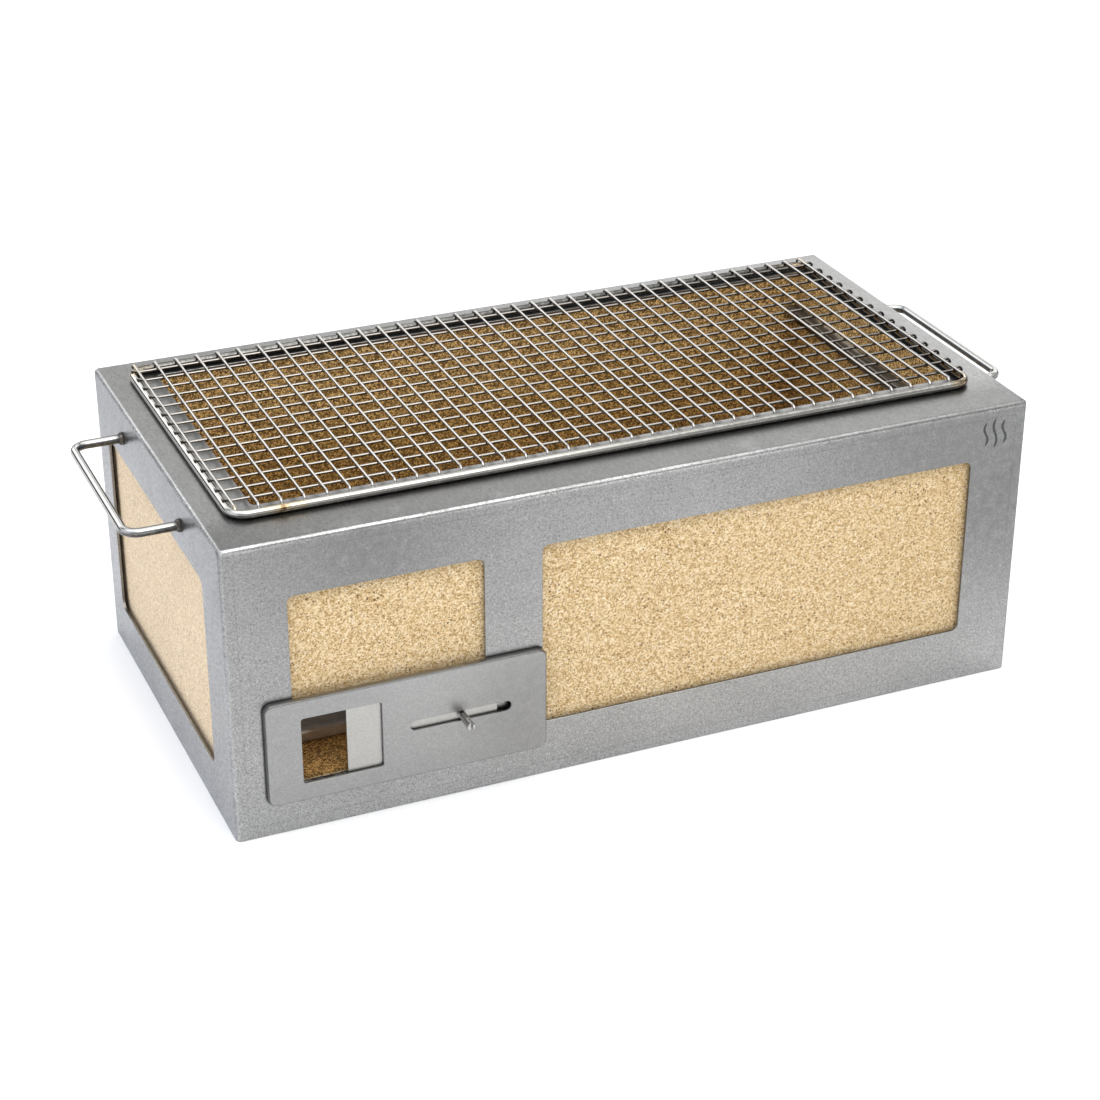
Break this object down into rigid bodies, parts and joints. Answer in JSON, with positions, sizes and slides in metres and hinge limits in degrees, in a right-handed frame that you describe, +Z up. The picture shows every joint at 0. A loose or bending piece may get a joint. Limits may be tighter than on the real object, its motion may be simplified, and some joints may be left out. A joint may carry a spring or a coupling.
{
  "type": "charcoal konro grill",
  "caption": "Table-top charcoal grill: windowed steel box lined with fire boards, with a sliding air damper, carrying handles and a lift-off wire cooking grill.",
  "frame": {"origin": "centre of the base plate's underside, on the surface the grill stands on", "axes": "+X along the long side, -Y out of the front with the air damper, +Z up"},
  "size_m": [0.6804, 0.342, 0.2282],
  "materials": {
    "casing_steel": "satin",
    "bright_steel": "satin",
    "mesh_steel": "satin",
    "weld_steel": "matte",
    "grate_steel": "matte",
    "screw_steel": "satin",
    "fire_board": "matte"
  },
  "bodies": {
    "grill_body": {"casing": "casing_steel", "base_plate": "casing_steel", "corner_bracket_front_left": "casing_steel", "corner_bracket_front_right": "casing_steel", "corner_bracket_rear_left": "casing_steel", "corner_bracket_rear_right": "casing_steel", "base_screw_front_left": "screw_steel", "base_screw_front_right": "screw_steel", "base_screw_rear_left": "screw_steel", "base_screw_rear_right": "screw_steel", "fire_board_front": "fire_board", "fire_board_rear": "fire_board", "fire_board_left": "fire_board", "fire_board_right": "fire_board", "fire_board_base_left": "fire_board", "fire_board_base_right": "fire_board", "rest_rail_left": "casing_steel", "rest_rail_right": "casing_steel", "rail_screw_left_front": "screw_steel", "rail_screw_left_rear": "screw_steel", "rail_screw_right_front": "screw_steel", "rail_screw_right_rear": "screw_steel", "vent_cover": "casing_steel", "vent_guide_lower": "casing_steel", "vent_guide_upper": "casing_steel", "handle_left": "bright_steel", "handle_right": "bright_steel", "handle_collar_left_front": "weld_steel", "handle_collar_left_rear": "weld_steel", "handle_collar_right_front": "weld_steel", "handle_collar_right_rear": "weld_steel"},
    "damper": {"damper_plate": "bright_steel", "damper_pin": "bright_steel"},
    "charcoal_grate": {"charcoal_grate": "grate_steel"},
    "cooking_grill": {"grill_frame": "mesh_steel", "mesh_wires_cross": "mesh_steel", "mesh_wires_long": "mesh_steel"}
  },
  "joints": [
    {"name": "damper_slide", "type": "slide", "parent": "grill_body", "child": "damper", "axis": [1, 0, 0], "range_m": [-0.033, 0.032]},
    {"name": "charcoal_grate_lift", "type": "slide", "parent": "grill_body", "child": "charcoal_grate", "axis": [0, 0, 1], "range_m": [0, 0.15]},
    {"name": "cooking_grill_lift", "type": "slide", "parent": "grill_body", "child": "cooking_grill", "axis": [0, 0, 1], "range_m": [0, 0.15]}
  ]
}
